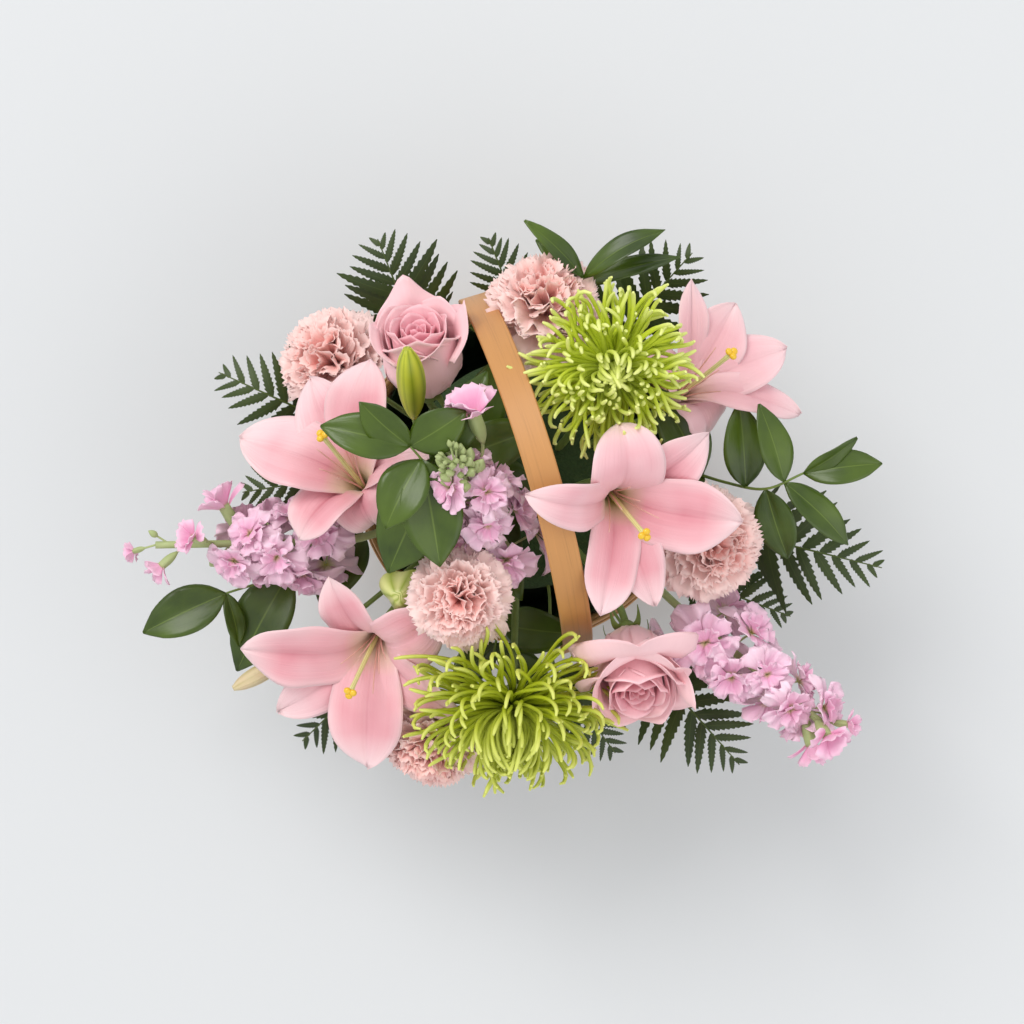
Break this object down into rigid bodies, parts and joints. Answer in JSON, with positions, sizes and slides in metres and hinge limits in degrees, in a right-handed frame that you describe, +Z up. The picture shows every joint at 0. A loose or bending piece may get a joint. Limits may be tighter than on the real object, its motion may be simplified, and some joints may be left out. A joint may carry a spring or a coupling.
{
  "type": "flower basket arrangement",
  "caption": "Round wooden basket with an arched carrying handle, filled with pink lilies, roses, carnations, stock, green spider mums and foliage set in floral foam.",
  "frame": {"origin": "middle of the underside of the basket's floor", "axes": "+Z up; -Y towards the front of the arrangement; +X to its right, along its widest spread"},
  "size_m": [0.5399, 0.3962, 0.3341],
  "materials": {
    "chipwood": "satin",
    "brass": "satin",
    "liner_plastic": "satin",
    "floral_foam": "matte",
    "lily_pink": "satin",
    "bud_green": "satin",
    "mum_green": "satin",
    "rose_pink": "satin",
    "carnation_pink": "matte",
    "stock_lilac": "matte",
    "ruscus_green": "gloss",
    "fern_green": "satin"
  },
  "bodies": {
    "root": {"basket_floor": "chipwood", "basket_wall": "chipwood", "foot_band": "chipwood", "rim_band_outer": "chipwood", "rim_band_inner": "chipwood", "rim_reed": "chipwood", "handle": "chipwood", "handle_tack_front_1": "brass", "handle_tack_front_2": "brass", "handle_tack_back_1": "brass", "handle_tack_back_2": "brass", "liner": "liner_plastic", "foam": "floral_foam", "lily_left_back": "lily_pink", "lily_left_front": "lily_pink", "lily_right": "lily_pink", "lily_right_back": "lily_pink", "mum_back": "mum_green", "mum_front": "mum_green", "rose_back": "rose_pink", "rose_front": "rose_pink", "carnation_left_back": "carnation_pink", "carnation_back": "carnation_pink", "carnation_centre": "carnation_pink", "carnation_right": "carnation_pink", "carnation_front": "carnation_pink", "stock_centre": "stock_lilac", "stock_left": "stock_lilac", "stock_right": "stock_lilac", "lily_bud_back": "bud_green", "lily_bud_left": "bud_green", "lily_bud_centre": "bud_green", "ruscus_centre": "ruscus_green", "ruscus_back": "ruscus_green", "ruscus_right": "ruscus_green", "ruscus_left": "ruscus_green", "ruscus_front": "ruscus_green", "fern_back_left": "fern_green", "fern_back": "fern_green", "fern_left": "fern_green", "fern_left_low": "fern_green", "fern_back_right": "fern_green", "fern_right": "fern_green", "fern_right_low": "fern_green", "fern_front_right": "fern_green", "fern_front": "fern_green", "fern_front_left": "fern_green"}
  },
  "joints": []
}
